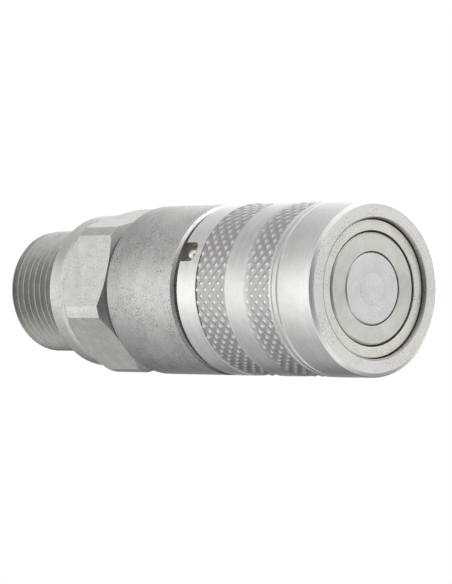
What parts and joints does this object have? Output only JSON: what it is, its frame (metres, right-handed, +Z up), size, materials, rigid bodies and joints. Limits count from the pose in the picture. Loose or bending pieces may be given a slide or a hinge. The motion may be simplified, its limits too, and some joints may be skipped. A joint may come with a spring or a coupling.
{
  "type": "quick disconnect coupler",
  "caption": "Flat-face hydraulic quick coupler, socket half: knurled locking sleeve, ball cage, spring-loaded valve sleeve, fixed stem and a hexagon adapter with a male-threaded port.",
  "frame": {"origin": "centre of the fixed stem's flat face, where the two halves of a coupling meet", "axes": "+X along the coupler's axis towards the coupling face, +Z up, the notch of the sleeve lies between -Y and +Z"},
  "size_m": [0.1083, 0.038, 0.038],
  "materials": {
    "adapter_steel": "zinc-plated, matt, fine machining marks",
    "housing_steel": "zinc-plated, mottled satin",
    "sleeve_steel": "zinc-plated, fine turned satin with diamond knurl",
    "nose_steel": "hardened steel, slightly warm satin",
    "valve_steel": "satin, turned",
    "stem_steel": "satin, faced",
    "bearing_steel": "polished ball",
    "spring_steel": "drawn wire",
    "seal_rubber": "matt nitrile",
    "backup_ptfe": "matt white plastic"
  },
  "bodies": {
    "coupler_body": {"port_adapter": "adapter_steel", "rear_housing": "housing_steel", "ball_cage": "nose_steel", "center_stem": "stem_steel", "stem_spider": "stem_steel", "stem_nut": "stem_steel", "sleeve_stop_ring": "spring_steel", "sleeve_lock_ball": "bearing_steel", "stem_o_ring": "seal_rubber", "nose_o_ring": "seal_rubber", "nose_backup_ring": "backup_ptfe", "body_o_ring": "seal_rubber", "adapter_o_ring": "seal_rubber", "adapter_backup_ring": "backup_ptfe"},
    "sleeve_slider": {"sleeve_spring_washer": "stem_steel", "sleeve_spring": "spring_steel"},
    "sleeve": {"locking_sleeve": "sleeve_steel"},
    "valve": {"valve_sleeve": "valve_steel", "valve_spring": "spring_steel"},
    "locking_ball_01": {"locking_ball_01": "bearing_steel"},
    "locking_ball_02": {"locking_ball_02": "bearing_steel"},
    "locking_ball_03": {"locking_ball_03": "bearing_steel"},
    "locking_ball_04": {"locking_ball_04": "bearing_steel"},
    "locking_ball_05": {"locking_ball_05": "bearing_steel"},
    "locking_ball_06": {"locking_ball_06": "bearing_steel"},
    "locking_ball_07": {"locking_ball_07": "bearing_steel"},
    "locking_ball_08": {"locking_ball_08": "bearing_steel"},
    "locking_ball_09": {"locking_ball_09": "bearing_steel"},
    "locking_ball_10": {"locking_ball_10": "bearing_steel"},
    "locking_ball_11": {"locking_ball_11": "bearing_steel"},
    "locking_ball_12": {"locking_ball_12": "bearing_steel"}
  },
  "joints": [
    {"name": "sleeve_slide", "type": "slide", "parent": "coupler_body", "child": "sleeve_slider", "axis": [1, 0, 0], "range_m": [0, 0.004], "deforming": ["sleeve_spring"]},
    {"name": "sleeve_turn", "type": "hinge", "parent": "sleeve_slider", "child": "sleeve", "pos_m": [0, 0, 0], "axis": [1, 0, 0], "range_deg": [-2.5, 2.5]},
    {"name": "valve_slide", "type": "slide", "parent": "coupler_body", "child": "valve", "axis": [1, 0, 0], "range_m": [-0.01, 0], "deforming": ["valve_spring"]},
    {"name": "ball_01_drop", "type": "slide", "parent": "coupler_body", "child": "locking_ball_01", "axis": [0, -1, 0], "range_m": [-0.0009, 0]},
    {"name": "ball_02_drop", "type": "slide", "parent": "coupler_body", "child": "locking_ball_02", "axis": [0, -0.866, 0.5], "range_m": [-0.0009, 0]},
    {"name": "ball_03_drop", "type": "slide", "parent": "coupler_body", "child": "locking_ball_03", "axis": [0, -0.5, 0.866], "range_m": [-0.0009, 0]},
    {"name": "ball_04_drop", "type": "slide", "parent": "coupler_body", "child": "locking_ball_04", "axis": [0, 0, 1], "range_m": [-0.0009, 0]},
    {"name": "ball_05_drop", "type": "slide", "parent": "coupler_body", "child": "locking_ball_05", "axis": [0, 0.5, 0.866], "range_m": [-0.0009, 0]},
    {"name": "ball_06_drop", "type": "slide", "parent": "coupler_body", "child": "locking_ball_06", "axis": [0, 0.866, 0.5], "range_m": [-0.0009, 0]},
    {"name": "ball_07_drop", "type": "slide", "parent": "coupler_body", "child": "locking_ball_07", "axis": [0, 1, 0], "range_m": [-0.0009, 0]},
    {"name": "ball_08_drop", "type": "slide", "parent": "coupler_body", "child": "locking_ball_08", "axis": [0, 0.866, -0.5], "range_m": [-0.0009, 0]},
    {"name": "ball_09_drop", "type": "slide", "parent": "coupler_body", "child": "locking_ball_09", "axis": [0, 0.5, -0.866], "range_m": [-0.0009, 0]},
    {"name": "ball_10_drop", "type": "slide", "parent": "coupler_body", "child": "locking_ball_10", "axis": [0, 0, -1], "range_m": [-0.0009, 0]},
    {"name": "ball_11_drop", "type": "slide", "parent": "coupler_body", "child": "locking_ball_11", "axis": [0, -0.5, -0.866], "range_m": [-0.0009, 0]},
    {"name": "ball_12_drop", "type": "slide", "parent": "coupler_body", "child": "locking_ball_12", "axis": [0, -0.866, -0.5], "range_m": [-0.0009, 0]}
  ],
  "couplings": [
    {"joint": "valve_slide", "follows": "sleeve_slide", "ratio": -2.5},
    {"joint": "ball_01_drop", "follows": "sleeve_slide", "ratio": -0.225},
    {"joint": "ball_02_drop", "follows": "sleeve_slide", "ratio": -0.225},
    {"joint": "ball_03_drop", "follows": "sleeve_slide", "ratio": -0.225},
    {"joint": "ball_04_drop", "follows": "sleeve_slide", "ratio": -0.225},
    {"joint": "ball_05_drop", "follows": "sleeve_slide", "ratio": -0.225},
    {"joint": "ball_06_drop", "follows": "sleeve_slide", "ratio": -0.225},
    {"joint": "ball_07_drop", "follows": "sleeve_slide", "ratio": -0.225},
    {"joint": "ball_08_drop", "follows": "sleeve_slide", "ratio": -0.225},
    {"joint": "ball_09_drop", "follows": "sleeve_slide", "ratio": -0.225},
    {"joint": "ball_10_drop", "follows": "sleeve_slide", "ratio": -0.225},
    {"joint": "ball_11_drop", "follows": "sleeve_slide", "ratio": -0.225},
    {"joint": "ball_12_drop", "follows": "sleeve_slide", "ratio": -0.225}
  ]
}
